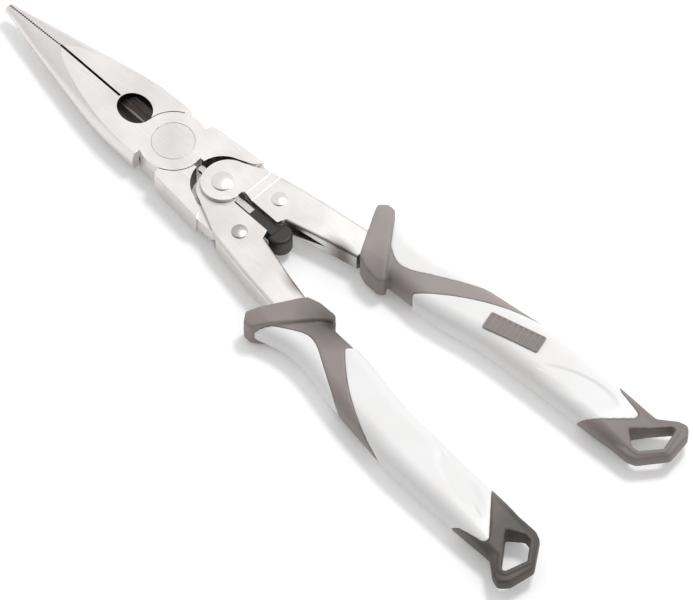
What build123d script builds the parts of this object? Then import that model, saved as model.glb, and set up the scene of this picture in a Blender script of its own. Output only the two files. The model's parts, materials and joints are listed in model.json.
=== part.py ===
"""Double-leverage long-nose fishing pliers, modelled at rest: jaws shut, handles spread.

Frame: +X runs from the jaw tips to the handle ends, +Y is the side of lever A, +Z is up.
The origin is the middle of the footprint, on the surface that the pliers lie on.
All profiles are laid out about the jaw pivot, on planes parallel to the flat of the tool.
Side A is the +Y handle and side B the -Y handle.
"""
import os
from math import atan2, cos, degrees, radians, sin, sqrt

from build123d import *

# ---- overall layout, mm, measured from the jaw pivot -------------------------------------------
TIP_REACH = 65.0          # jaw pivot to the jaw tips
END_REACH = 167.0         # jaw pivot to the far edge of the lanyard loops
GUARD_HALF_HEIGHT = 5.6   # the finger guards are the thickest part and touch the surface
PIVOT_X = (TIP_REACH - END_REACH) / 2
MID_Z = GUARD_HALF_HEIGHT

# ---- linkage ------------------------------------------------------------------------------------
HEAD_PIVOT = (19.4, 0.0)  # where the two lever heads cross
LINK_PIVOT = (33.9, 7.6)  # where lever A holds the tail of jaw A; lever B is its mirror image

# ---- jaws ---------------------------------------------------------------------------------------
JAW_HALF = 3.7            # half thickness of the jaws
TONGUE_HALF = 2.1         # half thickness of the tail tongue inside the lever channel
HUB_RADIUS = 9.6
LAP_GAP = 0.05            # between the two lapped hub discs
HUB_GAP = 0.25            # round the edge of a hub disc
FACE_GAP = 0.05           # each gripping face stands this far off the centre line
RELIEF_GAP = 0.35         # behind the serrations the faces stand further off
RELIEF_START = -44.5
NOSE_END = -4.4
NOSE_STATIONS = [         # x, half width, half height of the round outer form
    (-TIP_REACH, 1.45, 1.55),
    (-54.0, 3.8, 2.7),
    (-40.5, 6.8, 4.1),
    (-30.0, 9.0, 5.7),
    (-20.0, 10.7, 7.4),
    (-11.0, 11.3, 9.0),
    (NOSE_END, 11.4, 9.6),
]
TOOTH_PITCH = 0.8
TOOTH_DEPTH = 0.3
TOOTH_START = 0.4         # plain face left ahead of the first tooth
CUTTER_STAND = 1.0        # depth of the steel that carries the cutting edge
CUTTER_X = -15.1
CUTTER_HALF_LENGTH = 5.4
CUTTER_HALF_WIDTH = 4.5
CUTTER_LAND = 0.5         # half height of the cutting edge left at mid thickness
CUTTER_FLANK = (3.7, 2.0) # where the valley's sloping side turns up, (y, z)
CUTTER_RIM = 4.7          # half width of the valley at the jaw's face
PASS = 0.2                # how far a cutting tool runs past a face
LOCK_NOTCH_X = 9.3
LOCK_NOTCH_HALF = 1.4
SHOULDER_RADIUS = 8.9     # clearance cut round the lever heads
SHOULDER_REACH = 2.8      # the cut runs on this far ahead of the head pivot
SHOULDER_HOOK = [(22.3, 12.9), (21.5, 11.1), (20.0, 9.95)]
TAIL_FRONT = [(5.0, LOCK_NOTCH_HALF), (3.0, 8.0), (4.1, 11.2)]
TONGUE_OUTER = [(15.5, 8.9), (19.0, 11.6), (21.0, 12.5), (27.2, 12.5), (31.2, 11.5), (35.2, 10.8)]
TONGUE_INNER = [(33.2, 3.3), (29.9, 5.6), (24.0, 8.6)]
TONGUE_EYE = 4.3

# ---- rivets -------------------------------------------------------------------------------------
JAW_RIVET_RADIUS = 4.0
JAW_RIVET_HEAD = 6.1
JAW_RIVET_HEAD_DEPTH = 1.0
RUNNING = 0.05            # radial running clearance of a hinge
OPEN_PIVOT = 0.3          # extra radial clearance of lever B on the pivot sleeve
SLEEVE_OUTER = 2.2
SLEEVE_INNER = 1.5
HEAD_RIVET_DOME = 3.05
HEAD_RIVET_RISE = 0.9
LINK_RIVET_RADIUS = 1.6
LINK_RIVET_DOME = 2.25
LINK_RIVET_RISE = 0.75
RIVET_RIM = 0.3           # straight side of a rivet head, below its low dome
RIVET_EDGE = 0.2          # rounding between the side and the dome

# ---- lever channels -----------------------------------------------------------------------------
SHEET = 1.1               # thickness of the lever's steel sheet
BEND_RADIUS = 1.05
CHANNEL_INNER = 2.2       # mid-plane to the inside of a flange
HEAD_INNER_A = 3.4        # lever A's head flanges lie outside those of lever B
JOGGLE_START = 26.3       # lever A's flanges step down from here, past lever B's head
JOGGLE_END = 28.6
HEAD_RADIUS = 6.1
LEVER_FRONT = [(18.5, 8.1), (27.3, 12.0)]
LEVER_INNER_EDGE = 1.9
HEAD_NOTCH_RADIUS = 1.0   # inside corner between the head and the inner edge
WEB_LINE = [(31.0, 13.9), (43.2, 16.1), (57.0, 18.0), (62.0, 18.6)]
INNER_LINE = [(38.8, 1.9), (39.6, 3.9), (53.2, 7.5), (62.0, 9.5)]
CURL_START = 41.5         # the flanges begin to curl together here
CURL_END = 52.5           # and meet here
TANG_HALF = 2.2
TANG_LINE = [(61.0, 10.8), (61.0, 17.4), (80.0, 20.8), (104.0, 24.6), (132.0, 26.4),
             (132.0, 21.2), (104.0, 19.0), (80.0, 14.8)]

# ---- lock ---------------------------------------------------------------------------------------
SLIDE_BOTTOM = 0.95
SLIDE_TOP = 2.15
SLIDE_NOSE_X = 10.4
SLIDE_BAR_HALF = 0.95
SLIDE_BAR_END = 31.0
SLIDE_EYE_HALF = 3.7
LOCK_TRAVEL = 0.9
TAB_STEM_HALF = 1.6
TAB_STEM_START = 26.6
TAB_STEM_BOTTOM = 1.9
TAB_HEAD_HEIGHT = 3.2      # half height of the thumb head
TAB_HEAD_HALF = 3.4
TAB_HEAD_START = 40.5
TAB_HEAD_END = 45.4

# ---- spring and washer --------------------------------------------------------------------------
WIRE = 0.7
COIL_RADIUS = 3.0
COIL_PITCH = 0.75
LEG_ANGLE = 26.0
LEG_LENGTH = 9.0
WASHER_BOTTOM = 0.5
WASHER_TOP = 0.9
WASHER_OUTER = 4.2

# ---- grips --------------------------------------------------------------------------------------
PANEL_DEPTH = 1.2         # thickness of the white panels
GRIP_STATIONS = [         # x, inner edge, outer edge, half height
    (59.0, 9.2, 27.0, 4.1),
    (66.0, 9.6, 24.8, 4.3),
    (74.0, 10.2, 24.2, 4.6),
    (84.0, 10.7, 26.0, 5.0),
    (97.0, 12.8, 28.5, 5.3),
    (112.0, 14.9, 30.6, 5.4),
    (127.0, 15.9, 31.4, 5.2),
    (141.0, 16.4, 31.6, 4.8),
    (150.0, 16.8, 31.7, 3.9),
    (155.5, 17.6, 31.5, 2.8),
    (159.0, 18.6, 31.0, 1.9),
]
# plan lines that bound the white panels
STRIPE_OUTER = [(55.0, 24.5), (65.6, 19.2), (71.5, 17.0), (78.0, 19.6), (88.8, 25.6), (97.5, 29.8)]
STRIPE_INNER = [(80.9, 13.2), (96.3, 24.7), (116.0, 31.8)]
PALM_FRONT = [(84.3, 9.0), (80.9, 12.4)]
PALM_CORNER = (152.9, 29.2)
PALM_CORNER_RADIUS = 1.4
PALM_REAR = [(137.5, 34.0), (143.0, 30.9), PALM_CORNER, (140.6, 16.0)]
BEHIND_GUARD = [(55.8, 29.5), (68.5, 8.0), (70.0, 0.0), (200.0, 0.0), (200.0, 60.0), (55.8, 60.0)]
LOOP_OUTLINE = [(149.5, 17.0), (158.8, 17.1), (161.4, 18.2), (167.0, 25.8), (165.8, 33.6), (163.4, 36.4),
                (160.4, 35.4), (155.8, 31.8), (149.5, 31.6)]
HOLE_OUTLINE = [(153.4, 23.3), (161.0, 32.5), (162.3, 32.5), (164.2, 25.8), (160.0, 20.6), (157.8, 20.3)]
RIM_WIDTH = 1.2
RIM_HALF = 2.5
BADGE_CENTRE = (110.7, 21.9)
BADGE_ANGLE = 16.0
BADGE_SIZE = (17.2, 5.6)
BADGE_RISE = 0.5
STRIPE_SLANT = (0.29, -0.30)  # the stripe leans by this much per mm of height, alike on both grips
NECK_END = 84.0
NECK_SETBACK = 0.6        # the neck behind the guard is narrower than the palm panel
CORNER_SHARE = 0.82       # corner radius of a section over its smaller half size
LOOP_HALF = 2.1
LOOP_ROUNDING = 1.0
GUARD_HALF_LENGTH = 14.2  # of the oval that the guard shows from the front
GUARD_OVAL_HALF = 6.1     # half height of that oval before its top and bottom are cut flat
GUARD_MIDDLE = (63.6, 17.9)
GUARD_FRONT = [(54.2, 25.0), (62.9, 9.8)]
GUARD_OUTER_END = (58.8, 27.5)
GUARD_INNER_END = (73.4, 9.5)
GUARD_PLAN = [*GUARD_FRONT, (66.2, 8.4), (71.8, 7.9), GUARD_INNER_END, GUARD_OUTER_END, (56.0, 27.6)]
GUARD_CORNER_ROUNDING = 0.9
GUARD_EDGE_ROUNDING = 0.7


def local(height):
    """Plane parallel to the flat of the tool, at this height from mid thickness."""
    return Plane(origin=(PIVOT_X, 0, MID_Z + height))


def across(x):
    """Plane square to +X at this distance from the jaw pivot; its own x is +Y, its y is +Z."""
    return Plane(origin=(PIVOT_X + x, 0, MID_Z), x_dir=(0, 1, 0), z_dir=(1, 0, 0))


def side_view():
    """Plane along the tool, seen from -Y; its own x is +X and its y is +Z."""
    return Plane(origin=(PIVOT_X, 0, MID_Z), x_dir=(1, 0, 0), z_dir=(0, -1, 0))


def mirrored(points, side):
    """Plan points of side A turned into those of the given side: +1 for A, -1 for B."""
    return [(x, side * y) for x, y in points]


def polar(centre, radius, angle):
    return centre[0] + radius * cos(radians(angle)), centre[1] + radius * sin(radians(angle))


os.makedirs("parts", exist_ok=True)
finished = {}


def keep(part, label):
    part.label = label
    export_step(part, f"parts/{label}.step")
    finished[label] = part


# ==== jaws =======================================================================================
shoulder_top = degrees(atan2(sqrt(SHOULDER_RADIUS**2 - SHOULDER_REACH**2), -SHOULDER_REACH))
shoulder_low = 180 - degrees(atan2(LOCK_NOTCH_HALF, sqrt(SHOULDER_RADIUS**2 - LOCK_NOTCH_HALF**2)))
shoulder_upper = polar(HEAD_PIVOT, SHOULDER_RADIUS, shoulder_top)
shoulder_lower = polar(HEAD_PIVOT, SHOULDER_RADIUS, shoulder_low)

with BuildPart() as cutter_recess:
    # a dished valley along the tool on each face, bounded by an oval
    with BuildSketch(across(CUTTER_X - CUTTER_HALF_LENGTH)):
        for face in (1, -1):
            right_side = [(CUTTER_RIM, JAW_HALF + PASS), CUTTER_FLANK, (FACE_GAP, CUTTER_LAND)]
            left_side = [(-y, z) for y, z in reversed(right_side)]
            Polygon(*mirrored([*right_side, *left_side], face), align=None)
    extrude(amount=2 * CUTTER_HALF_LENGTH)
    with BuildSketch(local(-JAW_HALF - PASS)):
        with Locations((CUTTER_X, 0)):
            Ellipse(CUTTER_HALF_LENGTH, CUTTER_HALF_WIDTH)
    extrude(amount=2 * (JAW_HALF + PASS), mode=Mode.INTERSECT)

with BuildPart() as jaw_a:
    # the nose: a round tapering form, cut flat above and below
    for x, half_width, half_height in NOSE_STATIONS:
        with BuildSketch(across(x)):
            Ellipse(half_width, half_height)
    loft()
    with BuildSketch(across(-TIP_REACH)):
        with Locations((-10, 0)):
            Rectangle(20 - 2 * FACE_GAP, 2 * JAW_HALF)
    extrude(amount=TIP_REACH + NOSE_END, mode=Mode.INTERSECT)
    # relief between the gripping faces, from the serrations back to the cutter
    with BuildSketch(local(-JAW_HALF)):
        with Locations(((RELIEF_START + NOSE_END) / 2, 0)):
            Rectangle(NOSE_END - RELIEF_START, 2 * RELIEF_GAP)
    extrude(amount=2 * JAW_HALF, mode=Mode.SUBTRACT)
    # the cutting edge stands forward again beside the recess
    with BuildSketch(local(-JAW_HALF)):
        with Locations((CUTTER_X, -CUTTER_STAND / 2)):
            Rectangle(2 * CUTTER_HALF_LENGTH + 1.0, CUTTER_STAND - 2 * FACE_GAP)
    extrude(amount=2 * JAW_HALF)
    # tail, full thickness as far as the clearance cut round the lever heads
    with BuildSketch(local(-JAW_HALF)):
        with BuildLine():
            Polyline(shoulder_lower, *TAIL_FRONT, SHOULDER_HOOK[0])
            ThreePointArc(*SHOULDER_HOOK)
            Line(SHOULDER_HOOK[-1], shoulder_upper)
            CenterArc(HEAD_PIVOT, SHOULDER_RADIUS, shoulder_top, shoulder_low - shoulder_top)
        make_face()
    extrude(amount=2 * JAW_HALF)
    # thinner tongue that runs into the lever's channel
    with BuildSketch(local(-TONGUE_HALF)):
        Polygon(*TONGUE_OUTER, *TONGUE_INNER, align=None)
        with Locations(LINK_PIVOT):
            Circle(TONGUE_EYE)
    extrude(amount=2 * TONGUE_HALF)
    # room for the other jaw's hub disc, then this jaw's own disc above it
    with BuildSketch(local(-JAW_HALF)):
        Circle(HUB_RADIUS + HUB_GAP)
    extrude(amount=JAW_HALF + LAP_GAP, mode=Mode.SUBTRACT)
    with BuildSketch(local(LAP_GAP)):
        Circle(HUB_RADIUS)
    extrude(amount=JAW_HALF - LAP_GAP)
    # oval cutter recess in both faces, leaving an edge at mid thickness
    add(cutter_recess.part, mode=Mode.SUBTRACT)
    # serrations across the gripping face
    tooth_count = int((TIP_REACH + RELIEF_START - TOOTH_START) / TOOTH_PITCH)
    with BuildSketch(local(-JAW_HALF)):
        for n in range(tooth_count):
            x = -TIP_REACH + TOOTH_START + n * TOOTH_PITCH
            Polygon((x, 0.01), (x + TOOTH_PITCH / 2, -TOOTH_DEPTH - FACE_GAP), (x + TOOTH_PITCH, 0.01),
                    align=None)
    extrude(amount=2 * JAW_HALF, mode=Mode.SUBTRACT)
    # notch for the lock's nose
    with BuildSketch(local(-JAW_HALF)):
        with Locations((LOCK_NOTCH_X + 1.0, 0)):
            Rectangle(2.0, 2 * LOCK_NOTCH_HALF)
    extrude(amount=2 * JAW_HALF, mode=Mode.SUBTRACT)
    # bores: main rivet with its flush head, and the link rivet
    with BuildSketch(local(-JAW_HALF)):
        Circle(JAW_RIVET_RADIUS)
    extrude(amount=2 * JAW_HALF, mode=Mode.SUBTRACT)
    with BuildSketch(local(JAW_HALF - JAW_RIVET_HEAD_DEPTH)):
        Circle(JAW_RIVET_HEAD)
    extrude(amount=JAW_RIVET_HEAD_DEPTH, mode=Mode.SUBTRACT)
    with BuildSketch(local(-TONGUE_HALF)):
        with Locations(LINK_PIVOT):
            Circle(LINK_RIVET_RADIUS + RUNNING)
    extrude(amount=2 * TONGUE_HALF, mode=Mode.SUBTRACT)
keep(jaw_a.part, "jaw_a")

with BuildPart() as jaw_b:
    # the same forging turned over about the long axis of the tool
    add(jaw_a.part.rotate(Axis((0, 0, MID_Z), (1, 0, 0)), 180))
keep(jaw_b.part, "jaw_b")


# ==== rivets and sleeve ==========================================================================
with BuildPart() as jaw_pivot_rivet:
    # tight in jaw A, running in jaw B, both heads flush
    with BuildSketch(local(-JAW_HALF)):
        Circle(JAW_RIVET_HEAD - RUNNING)
    extrude(amount=JAW_RIVET_HEAD_DEPTH - RUNNING)
    with BuildSketch(local(-JAW_HALF)):
        Circle(JAW_RIVET_RADIUS - RUNNING)
    extrude(amount=JAW_HALF)
    with BuildSketch(local(0)):
        Circle(JAW_RIVET_RADIUS)
    extrude(amount=JAW_HALF)
    with BuildSketch(local(JAW_HALF - JAW_RIVET_HEAD_DEPTH)):
        Circle(JAW_RIVET_HEAD)
    extrude(amount=JAW_RIVET_HEAD_DEPTH)
    flush_faces = jaw_pivot_rivet.faces().filter_by(Axis.Z).sort_by(Axis.Z)
    chamfer([flush_faces[0].outer_wire().edges(), flush_faces[-1].outer_wire().edges()], 0.15)
keep(jaw_pivot_rivet.part, "jaw_pivot_rivet")

head_outer_a = HEAD_INNER_A + SHEET
channel_outer = CHANNEL_INNER + SHEET

with BuildPart() as pivot_sleeve:
    # the levers and the slide run on this tube, so the rivet can be closed up tight
    with BuildSketch(local(-head_outer_a - RUNNING)):
        with Locations(HEAD_PIVOT):
            Circle(SLEEVE_OUTER)
            Circle(SLEEVE_INNER, mode=Mode.SUBTRACT)
    extrude(amount=2 * (head_outer_a + RUNNING))
keep(pivot_sleeve.part, "pivot_sleeve")


def dome_profile(half_length, dome, rise):
    """Middle, crown and edge of the low dome on a rivet head: (radius, height)."""
    cap = rise - RIVET_RIM
    sphere = (dome**2 + cap**2) / (2 * cap)
    half_angle = atan2(dome, sphere - cap) / 2
    crown = (sphere * sin(half_angle), half_length + rise - sphere + sphere * cos(half_angle))
    return (0, half_length + rise), crown, (dome, half_length + RIVET_RIM)


def flipped(point):
    return point[0], -point[1]


for label, centre, shaft, half_length, dome, rise in (
    ("lever_pivot_rivet", HEAD_PIVOT, SLEEVE_INNER, head_outer_a + RUNNING, HEAD_RIVET_DOME,
     HEAD_RIVET_RISE),
    ("link_rivet_a", LINK_PIVOT, LINK_RIVET_RADIUS, channel_outer, LINK_RIVET_DOME, LINK_RIVET_RISE),
    ("link_rivet_b", mirrored([LINK_PIVOT], -1)[0], LINK_RIVET_RADIUS, channel_outer,
     LINK_RIVET_DOME, LINK_RIVET_RISE),
):
    top, crown, edge = dome_profile(half_length, dome, rise)
    under = (dome, half_length)
    neck = (shaft, half_length)
    foot = (PIVOT_X + centre[0], centre[1], MID_Z)
    with BuildPart() as rivet:
        with BuildSketch(Plane(origin=foot, x_dir=(1, 0, 0), z_dir=(0, -1, 0))):
            with BuildLine():
                ThreePointArc(top, crown, edge)
                Polyline(edge, under, neck, flipped(neck), flipped(under), flipped(edge))
                ThreePointArc(flipped(edge), flipped(crown), flipped(top))
                Line(flipped(top), top)
            make_face()
        revolve(axis=Axis(foot, (0, 0, 1)))
        head_edges = rivet.edges().filter_by(
            lambda circle: abs(abs(circle.center().Z - MID_Z) - half_length - RIVET_RIM) < 0.01
        )
        fillet(head_edges, RIVET_EDGE)
    keep(rivet.part, label)


# ==== levers =====================================================================================
def height_along(line, x):
    """Plan y of a polyline at x."""
    for (x0, y0), (x1, y1) in zip(line, line[1:]):
        if x0 <= x <= x1:
            return y0 + (y1 - y0) * (x - x0) / (x1 - x0)
    raise ValueError(x)


def shifted(line, distance):
    return [(x, y + distance) for x, y in line]


def sheet_corners(lever, line):
    """Long top and bottom edges of a lever that follow this plan line."""
    found = ShapeList()
    for edge in lever.edges():
        centre = edge.center() - Vector(PIVOT_X, 0, MID_Z)
        if not line[0][0] < centre.X < line[-1][0] or edge.length < 3:
            continue
        on_line = abs(abs(centre.Y) - height_along(line, centre.X)) < 0.05
        if on_line and abs(abs(centre.Z) - channel_outer) < 0.01:
            found.append(edge)
    return found


lever_back = [(62.0, INNER_LINE[-1][1]), *reversed(INNER_LINE[:-1]), (24.0, LEVER_INNER_EDGE)]
head_front = (HEAD_PIVOT[0] - HEAD_RADIUS, 0)
head_notch_x = HEAD_PIVOT[0] + sqrt(HEAD_RADIUS**2 - LEVER_INNER_EDGE**2)
curl_line = [(CURL_START, height_along(INNER_LINE, CURL_START)), *INNER_LINE[2:]]

for side, name in ((1, "a"), (-1, "b")):
    head_inner = HEAD_INNER_A if side > 0 else CHANNEL_INNER
    head_outer = head_inner + SHEET
    with BuildPart() as lever:
        # top and bottom flanges as bent strips, lever A's stepping out over lever B's head
        with BuildSketch(side_view()):
            for face in (1, -1):
                strip = [(12, head_inner), (JOGGLE_START, head_inner), (JOGGLE_END, CHANNEL_INNER),
                         (63, CHANNEL_INNER), (63, channel_outer), (JOGGLE_END + 0.3, channel_outer),
                         (JOGGLE_START + 0.3, head_outer), (12, head_outer)]
                Polygon(*mirrored(strip, face), align=None)
        extrude(amount=40, both=True)
        with BuildSketch(local(-head_outer)):
            with BuildLine():
                ThreePointArc(*mirrored([head_front, (14.7, 5.4), LEVER_FRONT[0]], side))
                Polyline(*mirrored([*LEVER_FRONT, *WEB_LINE, *lever_back, HEAD_PIVOT], side))
                Line(HEAD_PIVOT, head_front)
            make_face()
            with Locations(HEAD_PIVOT):
                Circle(HEAD_RADIUS)
            notch = (head_notch_x, side * LEVER_INNER_EDGE)
            fillet(vertices().sort_by_distance(notch)[0], HEAD_NOTCH_RADIUS)
        extrude(amount=2 * head_outer, mode=Mode.INTERSECT)
        # the web along the outer side
        with BuildSketch(local(-channel_outer)):
            Polygon(*mirrored([*WEB_LINE, *reversed(shifted(WEB_LINE, -SHEET))], side), align=None)
        extrude(amount=2 * channel_outer)
        # the flanges curl together along the inner side to make a tube
        with BuildSketch(local(-channel_outer)):
            Polygon(*mirrored([*curl_line, *reversed(shifted(curl_line, SHEET))], side), align=None)
        extrude(amount=2 * channel_outer)
        with BuildSketch(side_view()):
            Polygon((CURL_START - 1, CHANNEL_INNER), (CURL_START + 3, 0.75 * CHANNEL_INNER), (CURL_END, 0),
                    (CURL_START + 3, -0.75 * CHANNEL_INNER), (CURL_START - 1, -CHANNEL_INNER), align=None)
        extrude(amount=-side * 12, mode=Mode.SUBTRACT)
        # bend radii of the sheet
        for line in (WEB_LINE, curl_line):
            fillet(sheet_corners(lever, line), BEND_RADIUS)
        # tang inside the grip
        with BuildSketch(local(-TANG_HALF)):
            Polygon(*mirrored(TANG_LINE, side), align=None)
        extrude(amount=2 * TANG_HALF)
        # bores: the head pivot, lever B's with the play that an open linkage needs, and the link
        with BuildSketch(local(-head_outer)):
            with Locations(HEAD_PIVOT):
                Circle(SLEEVE_OUTER + (RUNNING if side > 0 else OPEN_PIVOT))
            with Locations(*mirrored([LINK_PIVOT], side)):
                Circle(LINK_RIVET_RADIUS)
        extrude(amount=2 * head_outer, mode=Mode.SUBTRACT)
    keep(lever.part, f"lever_{name}")


# ==== lock =======================================================================================
with BuildPart() as lock_slide:
    with BuildSketch(local(SLIDE_BOTTOM)) as slide_plan:
        with BuildLine():
            Polyline((SLIDE_NOSE_X, -0.6), (SLIDE_NOSE_X, 0.6), (SLIDE_NOSE_X + 0.5, SLIDE_BAR_HALF),
                     (SLIDE_BAR_END, SLIDE_BAR_HALF), (SLIDE_BAR_END, -SLIDE_BAR_HALF),
                     (SLIDE_NOSE_X + 0.5, -SLIDE_BAR_HALF), close=True)
        make_face()
        with Locations((HEAD_PIVOT[0] + LOCK_TRAVEL / 2, 0)):
            SlotCenterToCenter(LOCK_TRAVEL, 2 * SLIDE_EYE_HALF)
            SlotCenterToCenter(LOCK_TRAVEL, 2 * (SLEEVE_OUTER + 2 * RUNNING), mode=Mode.SUBTRACT)
    extrude(amount=SLIDE_TOP - SLIDE_BOTTOM)
keep(lock_slide.part, "lock_slide")

with BuildPart() as lock_tab:
    # a narrow stem between the levers, carrying the steel bar in an open pocket
    with BuildSketch(local(-TAB_STEM_BOTTOM)):
        with Locations(((TAB_STEM_START + TAB_HEAD_START + 1) / 2, 0)):
            RectangleRounded(TAB_HEAD_START + 1 - TAB_STEM_START, 2 * TAB_STEM_HALF, 0.5)
    extrude(amount=TAB_STEM_BOTTOM + SLIDE_TOP - 0.1)
    # the rounded thumb head
    with BuildSketch(local(-TAB_HEAD_HEIGHT)):
        with BuildLine():
            Polyline((TAB_HEAD_START + 2.0, TAB_HEAD_HALF), (TAB_HEAD_START, TAB_HEAD_HALF),
                     (TAB_HEAD_START, -TAB_HEAD_HALF), (TAB_HEAD_START + 2.0, -TAB_HEAD_HALF))
            ThreePointArc((TAB_HEAD_START + 2.0, -TAB_HEAD_HALF), (TAB_HEAD_END, 0),
                          (TAB_HEAD_START + 2.0, TAB_HEAD_HALF))
        make_face()
        fillet(vertices(), 0.6)
    extrude(amount=2 * TAB_HEAD_HEIGHT)
    head_rims = lock_tab.edges().filter_by(
        lambda edge: abs(abs(edge.center().Z - MID_Z) - TAB_HEAD_HEIGHT) < 0.01
    )
    fillet(head_rims, 0.8)
    with BuildSketch(local(SLIDE_BOTTOM)):
        with Locations(((TAB_STEM_START - 0.6 + SLIDE_BAR_END) / 2, 0)):
            Rectangle(SLIDE_BAR_END - TAB_STEM_START + 0.6, 2 * SLIDE_BAR_HALF)
    extrude(amount=SLIDE_TOP, mode=Mode.SUBTRACT)
keep(lock_tab.part, "lock_tab")


# ==== opening spring and its washer ==============================================================
coil_foot = -CHANNEL_INNER + 0.05 + WIRE / 2
coil_turns = 2 + (360 - 2 * (90 + LEG_ANGLE)) / 360
coil_rise = COIL_PITCH * coil_turns
with BuildPart() as opening_spring:
    start = radians(-(90 + LEG_ANGLE))
    coil_plane = Plane(
        origin=(PIVOT_X + HEAD_PIVOT[0], 0, MID_Z + coil_foot),
        x_dir=(cos(start), sin(start), 0),
        z_dir=(0, 0, 1),
    )
    with BuildLine(coil_plane) as coil_path:
        Helix(pitch=COIL_PITCH, height=coil_rise, radius=COIL_RADIUS, lefthand=True)
    with BuildSketch(Plane(origin=coil_path.line @ 0, z_dir=coil_path.line % 0)):
        Circle(WIRE / 2)
    sweep(is_frenet=True)
    # straight legs that lie against the jaw tails
    for side, height in ((-1, coil_foot), (1, coil_foot + coil_rise)):
        corner = polar(HEAD_PIVOT, COIL_RADIUS, side * (90 + LEG_ANGLE))
        leg_plane = Plane(
            origin=(PIVOT_X + corner[0], corner[1], MID_Z + height),
            z_dir=(cos(radians(LEG_ANGLE)), side * sin(radians(LEG_ANGLE)), 0),
        )
        with BuildSketch(leg_plane.offset(-0.02)):
            Circle(WIRE / 2)
        extrude(amount=LEG_LENGTH)
keep(opening_spring.part, "opening_spring")

with BuildPart() as slide_washer:
    with BuildSketch(local(WASHER_BOTTOM)):
        with Locations(HEAD_PIVOT):
            Circle(WASHER_OUTER)
            Circle(SLEEVE_OUTER + RUNNING, mode=Mode.SUBTRACT)
    extrude(amount=WASHER_TOP - WASHER_BOTTOM)
keep(slide_washer.part, "slide_washer")


# ==== grips ======================================================================================
def grip_form(side, inset, setback=0.0):
    """The rounded body of a grip, shrunk by inset all round; setback narrows its neck."""
    with BuildPart() as form:
        for x, inner, outer, half_height in GRIP_STATIONS:
            if x <= NECK_END:
                inner += setback
            half_width = (outer - inner) / 2 - inset
            height = half_height - inset
            with BuildSketch(across(x)):
                with Locations((side * (inner + outer) / 2, 0)):
                    RectangleRounded(2 * half_width, 2 * height, CORNER_SHARE * min(half_width, height))
        loft()
    return form.part


def prism(outline, half_height, slant=(0, 0)):
    """A block with this plan outline at mid thickness, leaning by slant per mm of height."""
    with BuildPart() as block:
        for way in (1, -1):
            with BuildSketch(local(0)):
                add(outline)
            extrude(amount=half_height, dir=(way * slant[0], way * slant[1], way))
    return block.part


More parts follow.
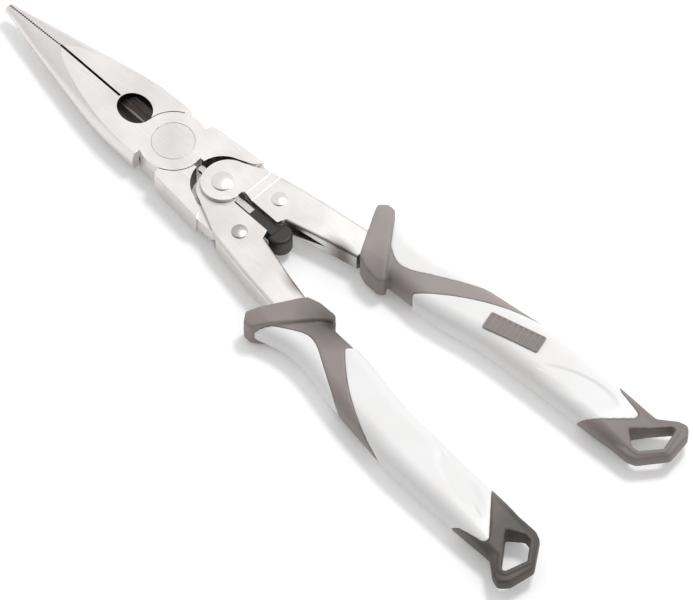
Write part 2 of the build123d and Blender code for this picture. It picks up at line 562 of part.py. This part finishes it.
for side, name in ((1, "a"), (-1, "b")):
    full_form = grip_form(side, 0)
    core_form = grip_form(side, PANEL_DEPTH)

    with BuildSketch() as thumb_region:
        with BuildLine():
            Spline(*mirrored(STRIPE_OUTER, side))
            Polyline(*mirrored([STRIPE_OUTER[-1], (98.0, 40.0), (50.0, 40.0), STRIPE_OUTER[0]], side))
        make_face()
    with BuildSketch() as palm_region:
        with BuildLine():
            ThreePointArc(*mirrored(STRIPE_INNER, side))
            Polyline(*mirrored([STRIPE_INNER[-1], (118.0, 40.0), (137.5, 40.0), *PALM_REAR, (140.6, 5.0),
                                (84.3, 5.0), *PALM_FRONT, STRIPE_INNER[0]], side))
        make_face()
        rear_corner = mirrored([PALM_CORNER], side)[0]
        fillet(palm_region.vertices().sort_by_distance(rear_corner)[0], PALM_CORNER_RADIUS)
    thumb_block = prism(thumb_region.sketch, 10, STRIPE_SLANT)
    palm_block = prism(palm_region.sketch, 10, STRIPE_SLANT)

    # finger guard: a leaning oval plate, taller than the grip, with flats that the tool lies on
    with BuildSketch() as guard_plan:
        Polygon(*mirrored(GUARD_PLAN, side), align=None)
        fillet(guard_plan.vertices(), GUARD_CORNER_ROUNDING)
    guard_lean = side * degrees(atan2(GUARD_OUTER_END[1] - GUARD_FRONT[1][1],
                                      GUARD_OUTER_END[0] - GUARD_FRONT[1][0]))
    guard_face = Plane(
        origin=(PIVOT_X + GUARD_MIDDLE[0], side * GUARD_MIDDLE[1], MID_Z),
        x_dir=(cos(radians(guard_lean)), sin(radians(guard_lean)), 0),
        z_dir=(sin(radians(guard_lean)), -cos(radians(guard_lean)), 0),
    )
    with BuildPart() as guard:
        with BuildSketch(guard_face):
            Ellipse(GUARD_HALF_LENGTH, GUARD_OVAL_HALF)
            Rectangle(2 * GUARD_HALF_LENGTH, 2 * GUARD_HALF_HEIGHT, mode=Mode.INTERSECT)
        extrude(amount=12, both=True)
        add(prism(guard_plan.sketch, GUARD_HALF_HEIGHT), mode=Mode.INTERSECT)
        guard_sides = guard.faces().filter_by(GeomType.PLANE).sort_by(SortBy.AREA)[-2:]
        fillet(guard_sides.edges(), GUARD_EDGE_ROUNDING)

    with BuildPart() as thumb_panel:
        add(full_form)
        add(thumb_block, mode=Mode.INTERSECT)
        add(core_form, mode=Mode.SUBTRACT)
        add(guard.part, mode=Mode.SUBTRACT)
    with BuildPart() as palm_panel:
        add(full_form)
        add(palm_block, mode=Mode.INTERSECT)
        add(core_form, mode=Mode.SUBTRACT)

    with BuildSketch() as loop_plan:
        Polygon(*mirrored(LOOP_OUTLINE, side), align=None)
        fillet(loop_plan.vertices().filter_by(lambda v: v.X > 159.0), 1.6)
    with BuildSketch() as hole_plan:
        Polygon(*mirrored(HOLE_OUTLINE, side), align=None)
        fillet(hole_plan.vertices(), 0.35)
    with BuildSketch() as rim_plan:
        add(hole_plan.sketch)
        offset(amount=RIM_WIDTH)
    with BuildSketch() as tube_plan:
        Polygon(*mirrored([(50.0, height_along(INNER_LINE, 50.0)), *INNER_LINE[2:], *reversed(WEB_LINE[2:]),
                           (50.0, height_along(WEB_LINE, 50.0))], side), align=None)
    with BuildSketch() as tang_plan:
        Polygon(*mirrored(TANG_LINE, side), align=None)
    with BuildSketch() as behind_guard:
        Polygon(*mirrored(BEHIND_GUARD, side), align=None)

    with BuildPart() as loop:
        with BuildSketch(local(-LOOP_HALF)):
            add(loop_plan.sketch)
        extrude(amount=2 * LOOP_HALF)
        loop_rims = loop.edges().filter_by(
            lambda edge: abs(abs(edge.center().Z - MID_Z) - LOOP_HALF) < 0.01
            and edge.center().X > PIVOT_X + 150.0
        )
        fillet(loop_rims, LOOP_ROUNDING)

    with BuildPart() as thumb_pocket:
        add(thumb_block)
        add(core_form, mode=Mode.SUBTRACT)
    with BuildPart() as palm_pocket:
        add(palm_block)
        add(core_form, mode=Mode.SUBTRACT)

    with BuildPart() as grip_core:
        add(grip_form(side, 0, NECK_SETBACK))
        add(prism(behind_guard.sketch, 20), mode=Mode.INTERSECT)
        add(thumb_pocket.part, mode=Mode.SUBTRACT)
        add(palm_pocket.part, mode=Mode.SUBTRACT)
        # guard and lanyard loop, moulded in one with the core
        add(guard.part)
        add(loop.part)
        add(prism(rim_plan.sketch, RIM_HALF))
        add(prism(hole_plan.sketch, 20), mode=Mode.SUBTRACT)
        # the lever's tube and tang fill their pockets exactly
        add(prism(tube_plan.sketch, channel_outer), mode=Mode.SUBTRACT)
        add(prism(tang_plan.sketch, TANG_HALF), mode=Mode.SUBTRACT)
    keep(grip_core.part, f"grip_core_{name}")
    keep(thumb_panel.part, f"thumb_panel_{name}")
    keep(palm_panel.part, f"palm_panel_{name}")

with BuildPart() as grip_badge:
    # plain raised plate that follows the crown of grip A's palm panel
    add(grip_form(1, -BADGE_RISE))
    with BuildSketch(local(0)):
        with Locations(BADGE_CENTRE):
            with Locations(Rotation(0, 0, BADGE_ANGLE)):
                RectangleRounded(*BADGE_SIZE, 0.6)
    extrude(amount=20, mode=Mode.INTERSECT)
    add(grip_form(1, 0), mode=Mode.SUBTRACT)
keep(grip_badge.part, "grip_badge")

for label, part in finished.items():
    print(label, len(part.solids()), round(part.volume, 1))
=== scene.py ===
"""Looks of the double-leverage fishing pliers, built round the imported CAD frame.

Everything is in metres. +X runs from the jaw tips to the handle ends, +Y is the side of lever A
and +Z is up. The CAD mesh of a piece already stands in the frame, so its object coordinates are
the frame's coordinates at rest, and the materials and the mesh work are laid out in them.
Places on the tool are named in mm from the middle of the jaw pivot.
"""
import json
import math
from collections import namedtuple

import bmesh
import bpy
from mathutils import Matrix, Vector


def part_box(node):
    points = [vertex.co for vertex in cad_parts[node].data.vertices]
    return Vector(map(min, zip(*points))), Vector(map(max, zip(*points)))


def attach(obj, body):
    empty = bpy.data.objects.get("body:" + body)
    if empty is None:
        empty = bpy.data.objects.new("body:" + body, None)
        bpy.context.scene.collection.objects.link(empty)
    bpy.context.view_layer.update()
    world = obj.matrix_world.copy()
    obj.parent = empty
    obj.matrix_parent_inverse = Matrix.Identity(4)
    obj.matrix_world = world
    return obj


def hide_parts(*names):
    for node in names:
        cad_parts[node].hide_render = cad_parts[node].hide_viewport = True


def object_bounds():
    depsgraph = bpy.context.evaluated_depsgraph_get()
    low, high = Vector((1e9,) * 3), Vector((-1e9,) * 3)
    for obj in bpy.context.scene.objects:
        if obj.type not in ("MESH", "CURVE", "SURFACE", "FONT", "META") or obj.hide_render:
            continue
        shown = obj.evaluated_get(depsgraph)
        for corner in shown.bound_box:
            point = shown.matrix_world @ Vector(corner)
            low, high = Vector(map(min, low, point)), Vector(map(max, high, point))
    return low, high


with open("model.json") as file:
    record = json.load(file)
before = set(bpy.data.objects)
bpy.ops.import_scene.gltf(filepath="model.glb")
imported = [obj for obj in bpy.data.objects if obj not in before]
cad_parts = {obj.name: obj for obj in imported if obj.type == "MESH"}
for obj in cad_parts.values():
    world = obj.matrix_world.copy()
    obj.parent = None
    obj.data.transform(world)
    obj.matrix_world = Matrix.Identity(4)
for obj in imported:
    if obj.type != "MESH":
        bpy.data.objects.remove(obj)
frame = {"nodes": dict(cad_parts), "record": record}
cad_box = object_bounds()
nodes = frame["nodes"]
bodies = frame["record"]["behaviour"]["bodies"]
BODY_OF = {name: body for body, members in bodies.items() for name in members}

MM = 0.001
HUB = (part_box("jaw_pivot_rivet")[0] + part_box("jaw_pivot_rivet")[1]) / 2

# ---- camera and light ---------------------------------------------------------------------------
CAMERA_AZIMUTH = 45.78
CAMERA_ELEVATION = 56.42
CAMERA_ROLL = -0.03
CAMERA_TARGET = Vector((0.0177, -0.0008, 0.0056))
CAMERA_DISTANCE = 5.237
CAMERA_LENS = 1000.0
KEY_POSITION = (0.03, 0.44, 1.07)
KEY_SIZE = 0.28
KEY_POWER = 5.2
WORLD_STRENGTH = 0.88
DARK_SIDE = (0.42, -0.90, 0.15)   # the studio is darker towards here, and the steel mirrors it
FLOOR_GLOW = 0.18                 # the floor is a light table, which keeps its shadows soft
FLOOR_SIZE = 2.5
FLOOR_GAP = 0.2                   # mm between the floor and the pliers

# ---- features, mm -------------------------------------------------------------------------------
CUTTER_CENTRE = (-15.1, 0.0)
CUTTER_RADII = (5.45, 4.55)
CUTTER_EDGE_RADII = (5.45, 0.32)
RELIEF_CENTRE = (-24.0, 0.0)
RELIEF_RADII = (23.0, 0.55)
SHOULDER_CENTRE = (19.4, 0.0)
SHOULDER_RADII = (9.6, 9.6)
CURL_CENTRE = (57.6, 8.3)
CURL_RADII = (4.2, 1.9)
# the neck of the rubber is painted darker here, as the guard's shadow
NECK_CENTRE = (72.5, 11.6)
NECK_RADII = (6.5, 5.0)
# painted shade: the rubber darkens from here towards the rear end
REAR_SHADE_START = 132.0
REAR_SHADE_END = 152.0
SCOOP_CENTRE = (134.5, 22.0)
SCOOP_TURN = 17.0
SCOOP_HALF_LENGTH = 13.5
SCOOP_HALF_WIDTH = 4.4
SCOOP_DEPTH = 0.30
SEAM_RISE = 0.07
SEAM_WIDTH = 0.30
BADGE_CENTRE = (110.7, 21.9)
BADGE_TURN = 16.0
BADGE_HALF_LENGTH = 8.6
BADGE_HALF_WIDTH = 2.8
RIB_PITCH = 1.72
RIB_DEPTH = 0.30


def place(x, y):
    """A point of the frame at mid thickness, given in mm from the jaw pivot."""
    return HUB + Vector((x, y, 0.0)) * MM


def linear(red, green, blue):
    """A display colour, 0 to 255, as the linear colour that a shader takes."""
    def channel(value):
        share = value / 255
        return share / 12.92 if share <= 0.04045 else ((share + 0.055) / 1.055) ** 2.4
    return (channel(red), channel(green), channel(blue), 1.0)


def smooth_step(low, high, value):
    share = min(max((value - low) / (high - low), 0.0), 1.0)
    return share * share * (3.0 - 2.0 * share)


# ---- camera, light and floor --------------------------------------------------------------------
def make_camera():
    azimuth, elevation, roll = (math.radians(a) for a in (CAMERA_AZIMUTH, CAMERA_ELEVATION, CAMERA_ROLL))
    back = Vector((math.sin(azimuth) * math.cos(elevation), -math.cos(azimuth) * math.cos(elevation),
                   math.sin(elevation)))
    level = Vector((math.cos(azimuth), math.sin(azimuth), 0.0))
    upright = back.cross(level)
    right = level * math.cos(roll) + upright * math.sin(roll)
    up = upright * math.cos(roll) - level * math.sin(roll)
    camera = bpy.data.objects.new("camera", bpy.data.cameras.new("camera"))
    bpy.context.scene.collection.objects.link(camera)
    camera.data.lens = CAMERA_LENS
    camera.data.clip_start = 0.1
    camera.data.clip_end = 30.0
    turn = Matrix((right, up, back)).transposed().to_4x4()
    camera.matrix_world = Matrix.Translation(CAMERA_TARGET + back * CAMERA_DISTANCE) @ turn
    bpy.context.scene.camera = camera


def make_key_light():
    data = bpy.data.lights.new("key", "AREA")
    data.shape = "DISK"
    data.size = KEY_SIZE
    data.energy = KEY_POWER
    light = bpy.data.objects.new("key", data)
    light.location = KEY_POSITION
    light.rotation_euler = (CAMERA_TARGET - light.location).to_track_quat("-Z", "Y").to_euler()
    bpy.context.scene.collection.objects.link(light)


def make_world():
    """A bright studio all round, with one darker side that the polished pieces pick up."""
    world = bpy.data.worlds.new("studio")
    bpy.context.scene.world = world
    world.use_nodes = True
    tree = world.node_tree
    direction = tree.nodes.new("ShaderNodeTexCoord")
    toward = tree.nodes.new("ShaderNodeVectorMath")
    toward.operation = "DOT_PRODUCT"
    toward.inputs[1].default_value = Vector(DARK_SIDE).normalized()
    shade = tree.nodes.new("ShaderNodeMapRange")
    shade.interpolation_type = "SMOOTHSTEP"
    shade.inputs["From Min"].default_value = 0.40
    shade.inputs["From Max"].default_value = 0.85
    shade.inputs["To Min"].default_value = 1.0
    shade.inputs["To Max"].default_value = 0.12
    background = tree.nodes["Background"]
    tree.links.new(direction.outputs["Generated"], toward.inputs[0])
    tree.links.new(toward.outputs["Value"], shade.inputs["Value"])
    tree.links.new(shade.outputs["Result"], background.inputs["Color"])
    background.inputs["Strength"].default_value = WORLD_STRENGTH


def make_floor():
    finish = Finish("floor_white", 0.75, Emission_Color=linear(255, 255, 255),
                    Emission_Strength=FLOOR_GLOW)
    clouds = finish.noise((30.0, 30.0, 30.0))
    finish.colour(finish.ramp(clouds, linear(238, 238, 238), linear(242, 242, 242)))
    mesh = bpy.data.meshes.new("floor")
    work = bmesh.new()
    bmesh.ops.create_grid(work, x_segments=8, y_segments=8, size=FLOOR_SIZE)
    work.to_mesh(mesh)
    work.free()
    floor = bpy.data.objects.new("floor", mesh)
    floor.location.z = cad_box[0].z - FLOOR_GAP * MM
    mesh.materials.append(finish.finished())
    bpy.context.scene.collection.objects.link(floor)


# ---- materials ----------------------------------------------------------------------------------
class Finish:
    """A material on one Principled shader, with its procedural detail added step by step."""

    def __init__(self, name, roughness, **sockets):
        self.material = bpy.data.materials.new(name)
        self.material.use_nodes = True
        self.tree = self.material.node_tree
        self.shader = self.tree.nodes["Principled BSDF"]
        self.shader.inputs["Roughness"].default_value = roughness
        for socket, value in sockets.items():
            self.shader.inputs[socket.replace("_", " ")].default_value = value
        self.coordinates = self.tree.nodes.new("ShaderNodeTexCoord").outputs["Object"]
        self.normal = None

    def node(self, kind, links=(), **values):
        """A new node; links maps its sockets to other sockets or to plain values."""
        made = self.tree.nodes.new(kind)
        for key, value in values.items():
            setattr(made, key, value)
        for socket, source in dict(links).items():
            if isinstance(source, bpy.types.NodeSocket):
                self.tree.links.new(source, made.inputs[socket])
            else:
                made.inputs[socket].default_value = source
        return made

    def noise(self, scale, turn=0.0, detail=3.0):
        """Noise with so many features per metre along each axis, its axes turned about Z."""
        vector = self.node("ShaderNodeMapping", {
            "Vector": self.coordinates, "Rotation": (0.0, 0.0, -math.radians(turn)), "Scale": scale,
        }).outputs["Vector"]
        return self.node("ShaderNodeTexNoise", {
            "Vector": vector, "Scale": 1.0, "Detail": detail,
        }).outputs["Fac"]

    def ramp(self, factor, low, high, start=0.3, end=0.7):
        made = self.node("ShaderNodeValToRGB", {"Fac": factor})
        for stop, colour, at in zip(made.color_ramp.elements, (low, high), (start, end)):
            stop.color = colour
            stop.position = at
        return made.outputs["Color"]

    def mixed(self, factor, first, second):
        """Two colours mixed; the colour sockets of a Mix node are numbers 6 and 7, its result 2."""
        return self.node("ShaderNodeMix", {0: factor, 6: first, 7: second}, data_type="RGBA").outputs[2]

    def ranged(self, value, low, high, start=0.3, end=0.7):
        return self.node("ShaderNodeMapRange", {
            "Value": value, "From Min": start, "From Max": end, "To Min": low, "To Max": high,
        }).outputs["Result"]

    def math(self, operation, first, second=0.0):
        return self.node("ShaderNodeMath", {0: first, 1: second}, operation=operation).outputs[0]

    def axis(self, name):
        return self.node("ShaderNodeSeparateXYZ", {0: self.coordinates}).outputs[name]

    def inside(self, centre, radii, blend=0.01):
        """1 in an upright oval pillar on both sides of the tool, falling to 0 across its edge."""
        middle = place(*centre)
        beside = self.math("ABSOLUTE", self.axis("Y"))
        length = self.math("DIVIDE", self.math("SUBTRACT", self.axis("X"), middle.x), radii[0] * MM)
        width = self.math("DIVIDE", self.math("SUBTRACT", beside, middle.y), radii[1] * MM)
        reach = self.math("SQRT", self.math("ADD", self.math("MULTIPLY", length, length),
                                            self.math("MULTIPLY", width, width)))
        return self.ranged(reach, 1.0, 0.0, 1.0 - blend, 1.0 + blend)

    def upright(self):
        """1 on walls that stand square to the flat of the tool, 0 on its top and bottom."""
        normal = self.node("ShaderNodeNewGeometry").outputs["True Normal"]
        height = self.node("ShaderNodeSeparateXYZ", {0: normal}).outputs["Z"]
        return self.ranged(self.math("ABSOLUTE", height), 1.0, 0.0, 0.35, 0.6)

    def colour(self, source):
        self.tree.links.new(source, self.shader.inputs["Base Color"])

    def roughness(self, source):
        self.tree.links.new(source, self.shader.inputs["Roughness"])

    def rounded_edges(self, radius):
        """Shades sharp edges as if they were broken by this radius."""
        self.normal = self.node("ShaderNodeBevel", {"Radius": radius}, samples=4).outputs["Normal"]

    def bump(self, height, depth, strength):
        links = {"Height": height, "Distance": depth, "Strength": strength}
        if self.normal:
            links["Normal"] = self.normal
        self.normal = self.node("ShaderNodeBump", links).outputs["Normal"]

    def finished(self):
        if self.normal:
            self.tree.links.new(self.normal, self.shader.inputs["Normal"])
        return self.material


# a part of a steel surface with its own two colours, on upright walls only or all over
Patch = namedtuple("Patch", "centre radii low high blend walls_only")
# painted shade: the cutter recess, the gap between the jaws and the walls round the shoulders are coloured
# dark where shade falls in them
PAINTED_RECESS_SHADE = (linear(44, 38, 36), linear(92, 84, 80))
CUT_STEEL = (linear(150, 142, 138), linear(196, 190, 186))
CURL_SHADE = (linear(96, 86, 82), linear(150, 140, 136))
JAW_PATCHES = (
    Patch(CUTTER_CENTRE, CUTTER_RADII, *PAINTED_RECESS_SHADE, 0.01, False),
    Patch(CUTTER_CENTRE, CUTTER_EDGE_RADII, *CUT_STEEL, 0.05, False),
    Patch(RELIEF_CENTRE, RELIEF_RADII, *PAINTED_RECESS_SHADE, 0.01, True),
    Patch(SHOULDER_CENTRE, SHOULDER_RADII, *PAINTED_RECESS_SHADE, 0.01, True),
)
LEVER_PATCHES = (Patch(CURL_CENTRE, CURL_RADII, *CURL_SHADE, 0.75, False),)


def steel(name, bright, dull, roughness, turn, edge, patches=()):
    """Satin steel brushed along one direction of the flat, its edges broken by so many mm."""
    finish = Finish(name, roughness, Metallic=1.0)
    brushing = finish.noise((150.0, 3600.0, 3600.0), turn, detail=4.0)
    clouds = finish.noise((90.0, 90.0, 90.0))
    metal = finish.ramp(brushing, dull, bright, 0.25, 0.75)
    rough = finish.ranged(clouds, roughness - 0.04, roughness + 0.06)
    for patch in patches:
        inside = finish.inside(patch.centre, patch.radii, patch.blend)
        if patch.walls_only:
            inside = finish.math("MULTIPLY", inside, finish.upright())
        metal = finish.mixed(inside, metal, finish.ramp(brushing, patch.low, patch.high))
        rough = finish.math("ADD", rough, finish.math("MULTIPLY", inside, 0.1))
    finish.colour(metal)
    finish.roughness(rough)
    finish.rounded_edges(edge * MM)
    finish.bump(brushing, 0.008 * MM, 0.5)
    return finish.finished()


def moulded_plastic(name, light, dark, roughness, grain, depth, coat=0.0):
    """Rubber or plastic with a fine grain of so many features per metre, and faint clouding."""
    finish = Finish(name, roughness, Coat_Weight=coat, Coat_Roughness=0.3)
    fine = finish.noise((grain, grain, grain), detail=2.0)
    clouds = finish.noise((70.0, 70.0, 70.0))
    finish.colour(finish.ramp(clouds, dark, light))
    finish.roughness(finish.ranged(fine, roughness - 0.06, roughness + 0.08))
    finish.bump(fine, depth * MM, 0.6)
    return finish.finished()


def grip_rubber(name, light, dark):
    """Warm gray rubber with painted shade: darker in the neck behind the guard, where its shadow falls,
    and towards the rear end.
    """
    finish = Finish(name, 0.50)
    fine = finish.noise((3600.0, 3600.0, 3600.0), detail=2.0)
    clouds = finish.ranged(finish.noise((70.0, 70.0, 70.0)), -0.08, 0.08)
    # painted shade: darker towards the rear end, and in the neck as the guard's shadow
    rear = finish.ranged(finish.axis("X"), 0.0, 1.0, place(REAR_SHADE_START, 0.0).x, place(REAR_SHADE_END, 0.0).x)
    neck = finish.math("MULTIPLY", finish.inside(NECK_CENTRE, NECK_RADII, 0.8), 0.8)
    shade = finish.math("ADD", clouds, finish.math("MAXIMUM", rear, neck))
    finish.colour(finish.ramp(shade, light, dark, 0.0, 1.0))
    finish.roughness(finish.ranged(fine, 0.44, 0.58))
    finish.bump(fine, 0.025 * MM, 0.6)
    return finish.finished()


def paint(material, *names):
    for name in names:
        slots = nodes[name].data.materials
        slots.clear()
        slots.append(material)


def paint_all():
    paint(steel("jaw_satin_steel", linear(233, 230, 228), linear(222, 218, 216), 0.32, 0.0, 0.10,
                JAW_PATCHES), "jaw_a", "jaw_b")
    paint(steel("hub_satin_steel", linear(225, 221, 219), linear(214, 210, 207), 0.34, 60.0, 0.10),
          "jaw_pivot_rivet")
    paint(steel("lever_a_satin_steel", linear(234, 232, 230), linear(223, 220, 218), 0.30, 12.0, 0.12,
                LEVER_PATCHES), "lever_a")
    # lever B: the same steel as lever A, painted darker as shade
    paint(steel("lever_b_shaded_satin_steel", linear(225, 221, 218), linear(212, 207, 204), 0.32, -12.0, 0.12,
                LEVER_PATCHES), "lever_b")
    paint(steel("rivet_bright_steel", linear(240, 238, 236), linear(232, 230, 228), 0.22, 40.0, 0.06),
          "lever_pivot_rivet", "link_rivet_a", "pivot_sleeve")
    # link rivet B: the same rivet as link rivet A, rougher and painted darker as shade
    paint(steel("rivet_dull_shaded_steel", linear(192, 188, 185), linear(178, 174, 170), 0.36, 40.0, 0.06),
          "link_rivet_b")
    paint(steel("slide_steel", linear(214, 209, 205), linear(190, 184, 180), 0.34, 0.0, 0.05),
          "lock_slide", "slide_washer")
    paint(steel("spring_steel", linear(170, 166, 162), linear(140, 136, 132), 0.30, 90.0, 0.02),
          "opening_spring")
    paint(moulded_plastic("tab_black_plastic", linear(42, 38, 36), linear(32, 29, 27), 0.42, 5200.0, 0.02),
          "lock_tab")


# ---- moulded pieces -----------------------------------------------------------------------------
def along(x, y, centre, turn):
    """Plan coordinates in mm turned into those along and across a feature."""
    angle = math.radians(turn)
    dx, dy = x - centre[0], y - centre[1]
    return dx * math.cos(angle) + dy * math.sin(angle), dy * math.cos(angle) - dx * math.sin(angle)


def palm_scoop(x, y, z):
    """A shallow lens-shaped scoop near the rear of the palm panel, on its top and bottom."""
    length, width = along(x, abs(y), SCOOP_CENTRE, SCOOP_TURN)
    share = 1.0 - (length / SCOOP_HALF_LENGTH) ** 2 - (width / SCOOP_HALF_WIDTH) ** 2
    crease = 0.45 if width > 0.0 else 0.9
    return -SCOOP_DEPTH * smooth_step(0.0, crease, share) if abs(z) > 1.0 else 0.0


def parting_line(x, y, z):
    """The fine ridge that a two-part mould leaves round the rubber at mid thickness."""
    return SEAM_RISE * math.exp(-(z / SEAM_WIDTH) ** 2)


def badge_ribs(x, y, z):
    """Plain cross ribs inside a flat border."""
    length, width = along(x, y, BADGE_CENTRE, BADGE_TURN)
    border = smooth_step(0.4, 0.9, BADGE_HALF_LENGTH - abs(length))
    border *= smooth_step(0.4, 0.9, BADGE_HALF_WIDTH - abs(width))
    return border * RIB_DEPTH * (0.5 * math.cos(2.0 * math.pi * length / RIB_PITCH) - 0.5)


def moulded(node, name, material, voxel, smoothing, shape=None):
    """A soft-edged skin over a CAD node: a fine even mesh, relaxed so that its edges are round.

    voxel is the mesh size in mm. shape gives how far, in mm, a point of the surface moves along
    its normal.
    """
    mesh = nodes[node].data.copy()
    work = bmesh.new()
    work.from_mesh(mesh)
    bmesh.ops.remove_doubles(work, verts=work.verts, dist=0.002 * MM)
    work.to_mesh(mesh)
    work.free()
    piece = bpy.data.objects.new(name, mesh)
    bpy.context.scene.collection.objects.link(piece)
    remesh = piece.modifiers.new("even_mesh", "REMESH")
    remesh.mode = "VOXEL"
    remesh.voxel_size = voxel * MM
    relax = piece.modifiers.new("round_edges", "SMOOTH")
    relax.factor = 0.5
    relax.iterations = smoothing
    evaluated = piece.evaluated_get(bpy.context.evaluated_depsgraph_get())
    final = bpy.data.meshes.new_from_object(evaluated)
    piece.modifiers.clear()
    piece.data = final
    final.name = name
    final.materials.clear()
    final.materials.append(material)
    final.shade_smooth()
    if shape:
        moved = [v.co + v.normal * shape(*((v.co - HUB) / MM)) * MM for v in final.vertices]
        for vertex, co in zip(final.vertices, moved):
            vertex.co = co
    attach(piece, BODY_OF[node])
    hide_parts(node)


def make_grips():
    white = moulded_plastic("panel_white_plastic", linear(232, 231, 231), linear(227, 226, 225), 0.42,
                            4200.0, 0.010, 0.15)
    badge = moulded_plastic("badge_gray_rubber", linear(142, 133, 129), linear(132, 123, 119), 0.50,
                            5200.0, 0.02)
    rubbers = {
        "a": grip_rubber("core_gray_rubber_a", linear(152, 143, 140), linear(122, 113, 110)),
        # rubber B is the same rubber as A, painted darker all over as shade
        "b": grip_rubber("core_gray_rubber_b_shaded", linear(142, 132, 129), linear(72, 67, 63)),
    }
    for name, gray in rubbers.items():
        moulded(f"grip_core_{name}", f"grip_rubber_{name}", gray, 0.30, 7, parting_line)
        moulded(f"thumb_panel_{name}", f"thumb_inlay_{name}", white, 0.25, 5)
        moulded(f"palm_panel_{name}", f"palm_inlay_{name}", white, 0.25, 5, palm_scoop)
    moulded("grip_badge", "ribbed_badge", badge, 0.15, 3, badge_ribs)


bpy.context.scene.view_settings.view_transform = "Standard"
make_camera()
make_world()
make_key_light()
make_floor()
paint_all()
make_grips()
